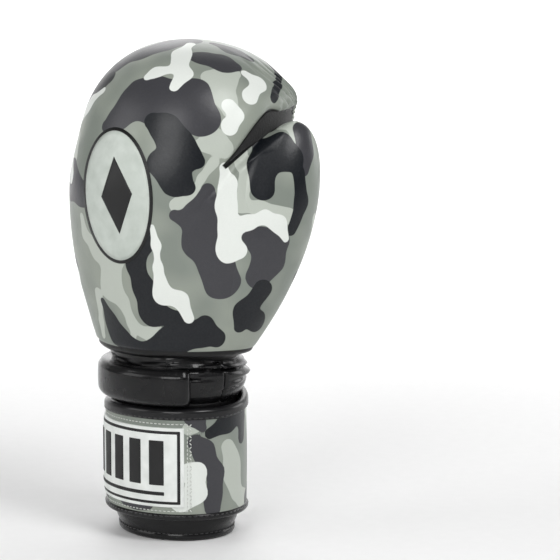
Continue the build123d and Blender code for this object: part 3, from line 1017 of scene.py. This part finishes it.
def panel_profile(degrees):
    """The section of the strap's printed panel, whose edges lie under the binding."""
    low, high = STRAP_BOTTOM + 1.5, strap_top(degrees) - 2.5
    return rounded_profile(strap_inner(degrees), STRAP_OUT - 0.2, low, high, 1.2, bulge=0.35)


def top_trim_profile(degrees):
    """The section of the binding along the strap's top edge."""
    top = strap_top(degrees)
    return rounded_profile(strap_inner(degrees) - 0.4, TRIM_OUT, top - TRIM_TOP, top, 2.3, bulge=0.25)


def bottom_trim_profile(degrees):
    """The section of the binding along the strap's bottom edge."""
    high = STRAP_BOTTOM + TRIM_BOTTOM
    return rounded_profile(strap_inner(degrees) - 0.4, TRIM_OUT, STRAP_BOTTOM, high, 1.7)


def stitch_bars(name, centres, alongs, outs, length, width, material):
    """A row of stitches: short rounded bars lying along a line and standing a little proud of it."""
    ring, rows = 8, 7
    shape = []
    for i in range(rows):
        s = -1 + 2 * i / (rows - 1)
        r = math.sqrt(max(0.0, 1 - abs(s) ** 2.6)) + 0.02
        for j in range(ring):
            a = 2 * math.pi * j / ring
            shape.append((s * length / 2, r * width / 2 * math.cos(a), r * width / 2 * 0.8 * math.sin(a)))
    shape = np.array(shape)
    quads = [
        [i * ring + j, i * ring + (j + 1) % ring, (i + 1) * ring + (j + 1) % ring, (i + 1) * ring + j]
        for i in range(rows - 1)
        for j in range(ring)
    ]
    ends = [list(range(ring))[::-1], [(rows - 1) * ring + j for j in range(ring)]]
    points, faces = [], []
    for centre, along, out in zip(centres, alongs, outs):
        along = along / np.linalg.norm(along)
        side = np.cross(out, along)
        base = len(points)
        bent = shape[:, :1] * along + shape[:, 1:2] * side + shape[:, 2:] * out
        points += list(centre + bent)
        faces += [[base + i for i in f] for f in quads + ends]
    obj = mesh_object(name, points, faces, material)
    fix_normals(obj)
    return obj


def strap_stitches(name, start, end, offset, height_at, pitch, length, width, material):
    """Stitches round the cuff or the strap, between two polar angles."""
    fine = np.linspace(start, end, 400)
    line, outs = cuff_point(fine, np.full(400, offset), np.array([height_at(a) for a in fine]))
    run = np.concatenate([[0], np.cumsum(np.linalg.norm(np.diff(line, axis=0), axis=1))])

    def along_line(places, values):
        return np.stack([np.interp(places, run, values[:, i]) for i in range(3)], -1)

    places = np.arange(pitch / 2, run[-1], pitch)
    alongs = along_line(places + 0.5, line) - along_line(places - 0.5, line)
    centres, ways_out = along_line(places, line), along_line(places, outs)
    return stitch_bars(name, centres, alongs, ways_out, length, width, material)


STITCH_PITCH, STITCH_LENGTH = 3.4, 2.5
# Rows of stitches on the binding: how far out they lie, their height and their width.
STITCH_ROWS = {
    "top": (TRIM_OUT + 0.02, lambda a: strap_top(a) - TRIM_TOP + 1.6, 0.75),
    "low": (TRIM_OUT - 0.1, lambda a: STRAP_BOTTOM + TRIM_BOTTOM - 1.3, 0.7),
}
BINDING_NODES = {
    "palm": ["strap_root_binding", "strap_palm_binding"],
    "thumb": ["strap_thumb_binding"],
    "end": ["strap_end_binding"],
}
strap_panels = []
for part, (start, end, fold, bodies) in STRAP_PIECES.items():
    panel = band_piece(f"strap_{part}_leather", start, end, panel_profile, camo)
    top_trim = band_piece(f"strap_{part}_top_binding", start, end, top_trim_profile, trim_black)
    low_trim = band_piece(f"strap_{part}_low_binding", start, end, bottom_trim_profile, trim_black)
    pieces = [top_trim, low_trim]
    for row, (offset, height_at, width) in STITCH_ROWS.items():
        name = f"strap_{part}_{row}_stitches"
        size = STITCH_PITCH, STITCH_LENGTH, width
        pieces.append(strap_stitches(name, start, end, offset, height_at, *size, thread_black))
    strap_panels.append((panel, fold, bodies))
    for obj in pieces:
        follow_strap(obj, fold, bodies)
    if part in BINDING_NODES:
        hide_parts(*BINDING_NODES[part])

strap_tree = tree_of(*[panel for panel, _, _ in strap_panels])
strap_strokes = laid_strokes(STRAP_STROKES, strap_tree)
strap_points = np.concatenate([points_of(panel) for panel, _, _ in strap_panels])
strap_normals = np.concatenate([normals_of(panel) for panel, _, _ in strap_panels])
outer_face = (strap_normals[:, 2] ** 2 < 0.2) & ((strap_points[:, :2] * strap_normals[:, :2]).sum(1) > 0)
few = slice(None, None, EVERY_STRAP_POINT)
strap_sample = strap_points[outer_face][few], strap_normals[outer_face][few]
strap_strokes += seeded_strokes(*strap_sample, STRAP_STROKE_COUNT, STRAP_SEED)
for panel, fold, bodies in strap_panels:
    paint_camouflage(panel, strap_strokes)
    set_field(panel, "black_part", np.full(len(panel.data.vertices), -5.0))
    follow_strap(panel, fold, bodies)
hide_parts("strap_root_panel", "strap_palm_panel")
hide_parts("strap_thumb_panel")
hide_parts("strap_end_panel")

# ---------------------------------------------------------------- label
LABEL_SEAT = STRAP_OUT + 0.05
LABEL_END_ROUNDING, LABEL_CORNER = 1.2, 0.5


def label_block(name, start, end, low, high, thick, material):
    """A thin plate on the strap's end, with rounded edges."""

    def profile_at(degrees):
        edge = min(degrees - start, end - degrees) / LABEL_END_ROUNDING
        top = LABEL_SEAT + 0.35 + thick - thick * 0.6 * end_rounding(edge)
        return rounded_profile(LABEL_SEAT - 0.6, top, low, high, LABEL_CORNER, steps=4)

    obj = band_piece(name, start, end, profile_at, material, step=1.0)
    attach(obj, "strap_end")
    return obj


def label_layer(name, turn_in, inset, thick, material):
    """A plate as large as the label, less so many degrees at each end and mm at the top and bottom."""
    low, high = LABEL_BOTTOM + inset, LABEL_TOP - inset
    return label_block(name, LABEL_FROM + turn_in, LABEL_TO - turn_in, low, high, thick, material)


label_base = label_layer("label_edge", 0.0, 0.0, 0.7, white_label)
label_line = label_layer("label_line", 2.2, 1.8, 1.0, black_print)
label_face = label_layer("label_face", 4.2, 3.4, 1.2, white_label)
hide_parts("label_frame")
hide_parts("strap_label")
BAR_COUNT, BAR_MARGIN, BAR_SPACE = 5, 11, 3.2
BAR_SPAN = (LABEL_TO - LABEL_FROM - 2 * BAR_MARGIN) / BAR_COUNT
for number in range(BAR_COUNT):
    first = LABEL_FROM + BAR_MARGIN + number * BAR_SPAN + BAR_SPACE
    last = first + BAR_SPAN - 2 * BAR_SPACE
    low, high = LABEL_BOTTOM + 13, LABEL_TOP - 7.5
    bar = label_block(f"label_mark_{number + 1}", first, last, low, high, 1.55, black_print)
low, high = LABEL_BOTTOM + 7.0, LABEL_BOTTOM + 9.2
under_line = label_block("label_underline", LABEL_FROM + 14, LABEL_TO - 14, low, high, 1.5, black_print)

# Upright seams at the label's thumb end: polar angle, pitch, length, width and how far the stitches slant.
SIDE_SEAMS = (
    ("label_seam_side_a", LABEL_TO + 4.6, 2.2, 1.9, 0.65, 1.4),
    ("label_seam_side_b", LABEL_TO + 2.4, 2.4, 1.7, 0.55, 0.0),
)
STITCH_SLANT = 0.55
for name, degrees, pitch, length, width, slant in SIDE_SEAMS:
    heights = np.arange(LABEL_BOTTOM - 2, LABEL_TOP + 3, pitch)
    at, outs = cuff_point(np.full(len(heights), degrees), np.full(len(heights), STRAP_OUT + 0.35), heights)
    side = np.cross(np.array([0, 0, 1.0]), outs)
    way = np.where(np.arange(len(heights)) % 2, STITCH_SLANT, -STITCH_SLANT)[:, None]
    alongs = np.array([[0, 0, 1.0]]) + side * way * slant
    obj = stitch_bars(name, at, alongs, outs, length, width, thread_pale)
    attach(obj, "strap_end")
for name, height in (("label_seam_top", LABEL_TOP + 2.2), ("label_seam_low", LABEL_BOTTOM - 2.4)):
    ends = LABEL_TO + 3, LABEL_FROM - 4
    obj = strap_stitches(name, *ends, STRAP_OUT + 0.3, lambda a, h=height: h, 2.6, 2.0, 0.6, thread_pale)
    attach(obj, "strap_end")

# ---------------------------------------------------------------- cuff, gusset and wrist bar
SLIT_TURN = 1.8
# The cuff's outer face from inside its mouth to its top: height, and how far outside the shell.
CUFF_FACE = np.array(
    [
        (1.0, -4.4),
        (0.0, -3.0),
        (0.9, -1.2),
        (3.0, -0.7),
        (4.6, -1.5),
        (7.0, -0.4),
        (11.0, 1.2),
        (15.0, 0.9),
        (24.0, 0.1),
        (60.0, 0.0),
        (CUFF_TOP, 0.0),
    ]
)
FULLEST = 6
SOFTENING = np.array([0.25, 0.5, 0.25])


def turn_from(centre, degrees):
    """How far one polar angle is from another, from -180 to 180."""
    return (degrees - centre + 180) % 360 - 180


def cuff_profile(degrees):
    """The cuff wall: leather over foam, with a rolled lip that draws in at the mouth."""
    edge = min(abs(degrees - 90), abs(450 - degrees)) - SLIT_TURN
    pinch = 1.6 * end_rounding(edge / 4)
    wave = 0.5 * math.sin(math.radians(degrees * 3 + 20)) + 0.3 * math.sin(math.radians(degrees * 7))
    face = CUFF_FACE.copy()
    face[FULLEST, 1] += wave
    places = np.arange(0, len(face) - 0.99, 0.25)
    height, outside = (np.interp(places, np.arange(len(face)), column) for column in face.T)
    for _ in range(3):
        outside[1:-1] = np.convolve(outside, SOFTENING, "valid")
        height[1:-1] = np.convolve(height, SOFTENING, "valid")
    path = list(zip(outside - pinch, height))
    path += [(-WALL + pinch, h) for h in np.linspace(CUFF_TOP, 2.0, 24)]
    return np.array(path)


cuff = band_piece("cuff_leather", 90 + SLIT_TURN, 450 - SLIT_TURN, cuff_profile, black, step=1.2)
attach(cuff, "cuff")
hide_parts("cuff_shell", "cuff_foam", "cuff_hem")

hem_stitches = strap_stitches("cuff_hem_stitches", 94, 446, -0.95, lambda a: 4.3, 3.2, 2.4, 0.6, thread_black)
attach(hem_stitches, "cuff")

GUSSET_LOW, GUSSET_HIGH = 80.0, 117.0
GUSSET_CREASE, CREASE_SWELL = 1.15, 0.55
WRINKLES = np.random.default_rng(12)
# Creases: polar angle, height in mm, half length in degrees and slope.
WRINKLE_RANGES = ((0, 360), (90, 107), (12, 40), (-0.35, 0.35))
WRINKLE_LIST = [[WRINKLES.uniform(*ends) for ends in WRINKLE_RANGES] for _ in range(46)]


def gusset_section(degrees):
    """The soft sleeve between the cuff and the hand: fuller on the thumb's side and creased all over."""
    thumb_full = 1 - ramp(abs(turn_from(15, degrees)), 45, 75)
    palm_full = 1 - ramp(abs(turn_from(90, degrees)), 60, 100)
    path = []
    for z in np.arange(GUSSET_LOW, GUSSET_HIGH + 0.1, 0.75):
        rise = np.clip((z - GUSSET_LOW) / (GUSSET_HIGH - GUSSET_LOW), 0, 1)
        shape = math.sin(math.pi * rise) ** 0.6
        out = -2.5 + shape * (3.4 + 4.6 * thumb_full + 1.6 * palm_full)
        depth = 0.0
        for centre, height, reach, slope in WRINKLE_LIST:
            away = turn_from(centre, degrees)
            line = z - height - slope * away * 0.35
            depth += math.exp(-((away / reach) ** 2) - (line / 0.8) ** 2) * GUSSET_CREASE
            depth -= math.exp(-((away / reach) ** 2) - ((line - 1.9) / 1.3) ** 2) * CREASE_SWELL
        seam = 1.8 * math.exp(-(((degrees - 7) / 1.1) ** 2))
        path.append((out - (depth + seam) * shape * (0.45 + 0.75 * thumb_full), z))
    path += [(-WALL, z) for z in np.arange(GUSSET_HIGH, GUSSET_LOW - 0.1, -2.0)]
    offset, height = np.array(path).T
    at, _ = cuff_point(np.full(len(path), degrees), offset, height)
    at[:, 1] -= 4.5 * ramp(at[:, 2], 96, 112)
    return at


gusset_sections = [gusset_section(degrees) for degrees in np.arange(0, 360, 0.9)]
gusset = swept("wrist_gusset_leather", gusset_sections, black, closed=True)
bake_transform(gusset)
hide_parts("wrist_gusset")

BAR_FROM, BAR_TO = -159.0, -21.0
BAR_LOW, BAR_HIGH = 81.5, 103.5


def bar_profile(degrees):
    """The padded bar's section; it shrinks to rounded ends."""
    edge = min(degrees - BAR_FROM, BAR_TO - degrees) / 6.0
    close = 1 - 0.55 * end_rounding(edge)
    mid = (BAR_LOW + BAR_HIGH) / 2
    half = (BAR_HIGH - BAR_LOW) / 2 * (0.80 + 0.20 * close)
    profile = rounded_profile(-0.5, 10.4 * close, mid - half, mid + half, 5.0, steps=8, bulge=0.6)
    seam = np.exp(-(((profile[:, 1] - (mid + half - 2.6)) / 0.55) ** 2)) * (profile[:, 0] > 2)
    profile[:, 0] -= 0.55 * seam
    return profile


bar = band_piece("wrist_bar_leather", BAR_FROM, BAR_TO, bar_profile, black, step=1.2)
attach(bar, "cuff")
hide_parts("wrist_bar_cover", "wrist_bar_foam")

# ---------------------------------------------------------------- pieces on the hand


def arc_line(turns, gap_at, inset):
    """A point for each turn round the thumb's tip, on the fist's plain surface sunk by inset and at the given
    distance from the thumb."""
    centre = THUMB_C.copy()
    centre[2] = GATHER_Z
    found = []
    for turn, gap in zip(turns, gap_at):
        way = GATHER_ACROSS * math.cos(turn) + np.array([0, 0, 1.0]) * math.sin(turn)
        reach = np.linspace(2, 62, 121)
        low, high = np.full(121, -70.0), np.full(121, 30.0)
        for _ in range(22):
            middle = (low + high) / 2
            outside = outline(centre + reach[:, None] * way + middle[:, None] * OUTWARD, FIST) > -inset
            high = np.where(outside, middle, high)
            low = np.where(outside, low, middle)
        line = centre + reach[:, None] * way + ((low + high) / 2)[:, None] * OUTWARD
        away = edge_gap(line)
        first = np.nonzero((away[1:] > gap) & (away[:-1] <= gap))[0][0] + 1
        share = (gap - away[first - 1]) / (away[first] - away[first - 1])
        found.append(line[first - 1] + (line[first] - line[first - 1]) * np.clip(share, 0, 1))
    return np.array(found)


TAPE_FROM, TAPE_TO = math.radians(163), math.radians(8)
TAPE_STEPS, TAPE_INSET, TAPE_LAP = 90, 2.9, 2.4


def crease_tape():
    """The black tape between the gathered edge and the thumb: a thin ribbon along the whole arc."""
    turns = np.linspace(TAPE_FROM, TAPE_TO, TAPE_STEPS)
    near = arc_line(turns, np.zeros(TAPE_STEPS), TAPE_INSET)
    width = tape_width(near)
    far = arc_line(turns, width + 0.3, TAPE_INSET)
    lap = TAPE_LAP * ramp(width, 1.5, 6.0) * frontness(near)
    near = arc_line(turns, -lap, TAPE_INSET)
    for line in (near, far):
        for _ in range(8):
            line[1:-1] = (line[:-2] + 2 * line[1:-1] + line[2:]) / 4
    out = gradient(lambda q: outline(q, FIST), (near + far) / 2)
    out /= np.linalg.norm(out, axis=1, keepdims=True)
    sections = []
    for a, b, up in zip(near, far, out):
        ring = [a + (b - a) * t + up * (0.9 + 0.5 * math.sin(math.pi * t)) for t in np.linspace(0, 1, 9)]
        ring += [a + (b - a) * t - up * 0.6 for t in np.linspace(1, 0, 9)]
        sections.append(ring)
    return swept("crease_tape", sections, tape_cloth)


tape = crease_tape()
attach(tape, "hand")
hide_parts("crease_strip")


DISC_RINGS, DISC_DEPTH = 14, 0.8


def draped_disc(name, rim, centre, lift, thick, material, tree):
    """A thin patch laid on the surface that the camera sees. rim is its edge as (across, height) in mm."""
    middle, rim = np.array(centre), np.array(rim)
    shares = np.arange(DISC_RINGS + 1) / DISC_RINGS
    seen = [middle + (corner - middle) * share for share in shares for corner in rim]
    top = np.array([on_surface(tree, *place) for place in seen])
    out = np.array([np.array(tree.find_nearest(Vector(p * MM))[1]) for p in top])
    count = len(rim)
    edge = np.repeat(np.sqrt(np.clip(1 - shares**14, 0, 1)), count)
    upper = top + out * (lift + thick * edge)[:, None]
    lower = top - out * DISC_DEPTH
    faces = []
    below = len(top)
    for ring in range(DISC_RINGS + 1):
        for j in range(count):
            a, b = ring * count + j, ring * count + (j + 1) % count
            if ring == DISC_RINGS:
                faces.append([a, b, below + b, below + a])
            else:
                faces.append([a, b, b + count, a + count])
                faces.append([below + a + count, below + b + count, below + b, below + a])
    obj = mesh_object(name, np.concatenate([upper, lower]), faces, material)
    work = bmesh.new()
    work.from_mesh(obj.data)
    bmesh.ops.remove_doubles(work, verts=work.verts, dist=1e-6)
    bmesh.ops.recalc_face_normals(work, faces=work.faces)
    work.to_mesh(obj.data)
    work.free()
    return obj


OVAL_POINTS = 72


def oval(centre, half_width, half_height, turn, corners):
    """Points round an oval, or round the straight-sided shape with that many corners on it."""
    at = np.linspace(0, corners, OVAL_POINTS + 1)[:OVAL_POINTS]
    angle = 2 * math.pi / corners
    first, share = np.floor(at), at % 1
    x = half_width * (np.cos(first * angle) * (1 - share) + np.cos((first + 1) * angle) * share)
    y = half_height * (np.sin(first * angle) * (1 - share) + np.sin((first + 1) * angle) * share)
    c, s = math.cos(turn), math.sin(turn)
    return [(centre[0] + c * i - s * j, centre[1] + s * i + c * j) for i, j in zip(x, y)]


BADGE_CENTRE = (-31.0, 196.0)
BADGE_TURN = math.radians(4)
# The badge's layers: half sizes, corners, lift, thickness, material and slot.
BADGE_LAYERS = {
    "badge_edge": (20.5, 39.0, OVAL_POINTS, 0.25, 0.35, black_print, "label_black"),
    "badge_field": (18.6, 37.0, OVAL_POINTS, 0.62, 0.15, grey_print, "label_white"),
    "badge_mark": (9.0, 22.0, 4, 0.80, 0.14, black_print, "label_black"),
}
for name, (half_width, half_height, corners, lift, thick, material, slot_name) in BADGE_LAYERS.items():
    rim = oval(BADGE_CENTRE, half_width, half_height, BADGE_TURN, corners)
    disc = draped_disc(name, rim, BADGE_CENTRE, lift, thick, material, hand_tree)
    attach(disc, "hand")
    if name == "badge_field":
        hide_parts("badge")

# ---------------------------------------------------------------- carried-over CAD nodes
CARRIED_OVER = {
    "cuff_lining": lining_cloth,
    "hand_lining": lining_cloth,
    "thumb_lining": lining_cloth,
    "loop_pad": pile,
    "hook_pad": pile,
    "grip_bar": trim_black,
    "size_tag": white_label,
}
for node, material in CARRIED_OVER.items():
    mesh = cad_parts[node].data
    mesh.materials.clear()
    mesh.materials.append(material)
    mesh.shade_smooth()

# ---------------------------------------------------------------- stage, lights and camera
world = bpy.data.worlds.new("studio")
bpy.context.scene.world = world
world.use_nodes = True
background = world.node_tree.nodes["Background"]
background.inputs["Color"].default_value = (1.0, 1.0, 1.0, 1)
background.inputs["Strength"].default_value = 0.16


FLOOR_FRONT, FLOOR_BEND, BEND_RADIUS, FLOOR_TOP, FLOOR_HALF = -3.0, 1.6, 0.9, 3.2, 3.2


def studio_floor():
    """A pale floor that curves up far behind the glove. Its sizes are in metres."""
    rows = [(FLOOR_FRONT, 0.0), (FLOOR_BEND, 0.0)]
    for a in np.linspace(0.1, 1.57, 12):
        rows.append((FLOOR_BEND + BEND_RADIUS * math.sin(a), BEND_RADIUS - BEND_RADIUS * math.cos(a)))
    rows.append((FLOOR_BEND + BEND_RADIUS, FLOOR_TOP))
    points = []
    for away, height in rows:
        for side in (-FLOOR_HALF, FLOOR_HALF):
            points.append(-LEVEL_TOWARDS * away + RIGHT * side + np.array([0, 0, height]))
    faces = [[2 * i, 2 * i + 1, 2 * i + 3, 2 * i + 2] for i in range(len(rows) - 1)]
    paint = moulded("floor_paint", (0.88, 0.88, 0.88, 1), (0.90, 0.90, 0.90, 1), 0.6)
    mesh_object("studio_floor", np.array(points) / MM, faces, paint)


studio_floor()

# Soft boxes: how many metres right of the glove, up and towards the camera they stand, then their size, their
# power and where they aim: how many metres right of the glove, towards the camera and up.
GLOVE = (0.0, 0.0, 0.17)
LIGHTS = {
    "key": (0.75, 1.2, 0.8, 0.6, 11, GLOVE),
    "front": (-0.45, 0.7, 1.25, 0.7, 8, GLOVE),
    "fill": (-1.3, 0.6, 0.3, 0.8, 4.5, GLOVE),
    "rim": (1.4, 0.5, -0.7, 0.8, 6, GLOVE),
    "backdrop": (0.0, 1.9, -1.5, 1.6, 60, (0.0, -3.0, 0.6)),
}
for name, (right, up, towards, size, power, aim) in LIGHTS.items():
    light = bpy.data.lights.new(name, "AREA")
    light.energy, light.size = power, size
    obj = bpy.data.objects.new(name, light)
    bpy.context.scene.collection.objects.link(obj)
    target = RIGHT * aim[0] + LEVEL_TOWARDS * aim[1] + np.array([0, 0, aim[2]])
    at = RIGHT * right + np.array([0, 0, up]) + LEVEL_TOWARDS * towards
    obj.location = at
    obj.rotation_euler = Vector(target - at).to_track_quat("-Z", "Y").to_euler()

bpy.context.scene.view_settings.view_transform = "Standard"

camera = bpy.data.cameras.new("camera")
camera.sensor_width = SENSOR
camera.lens = SENSOR * VIEW_DISTANCE / VIEW_WIDTH
camera.clip_end = 100
eye = bpy.data.objects.new("camera", camera)
bpy.context.scene.collection.objects.link(eye)
eye.location = (VIEW_CENTRE + TOWARDS * VIEW_DISTANCE) * MM
eye.rotation_euler = Vector(-TOWARDS).to_track_quat("-Z", "Y").to_euler()
bpy.context.scene.camera = eye
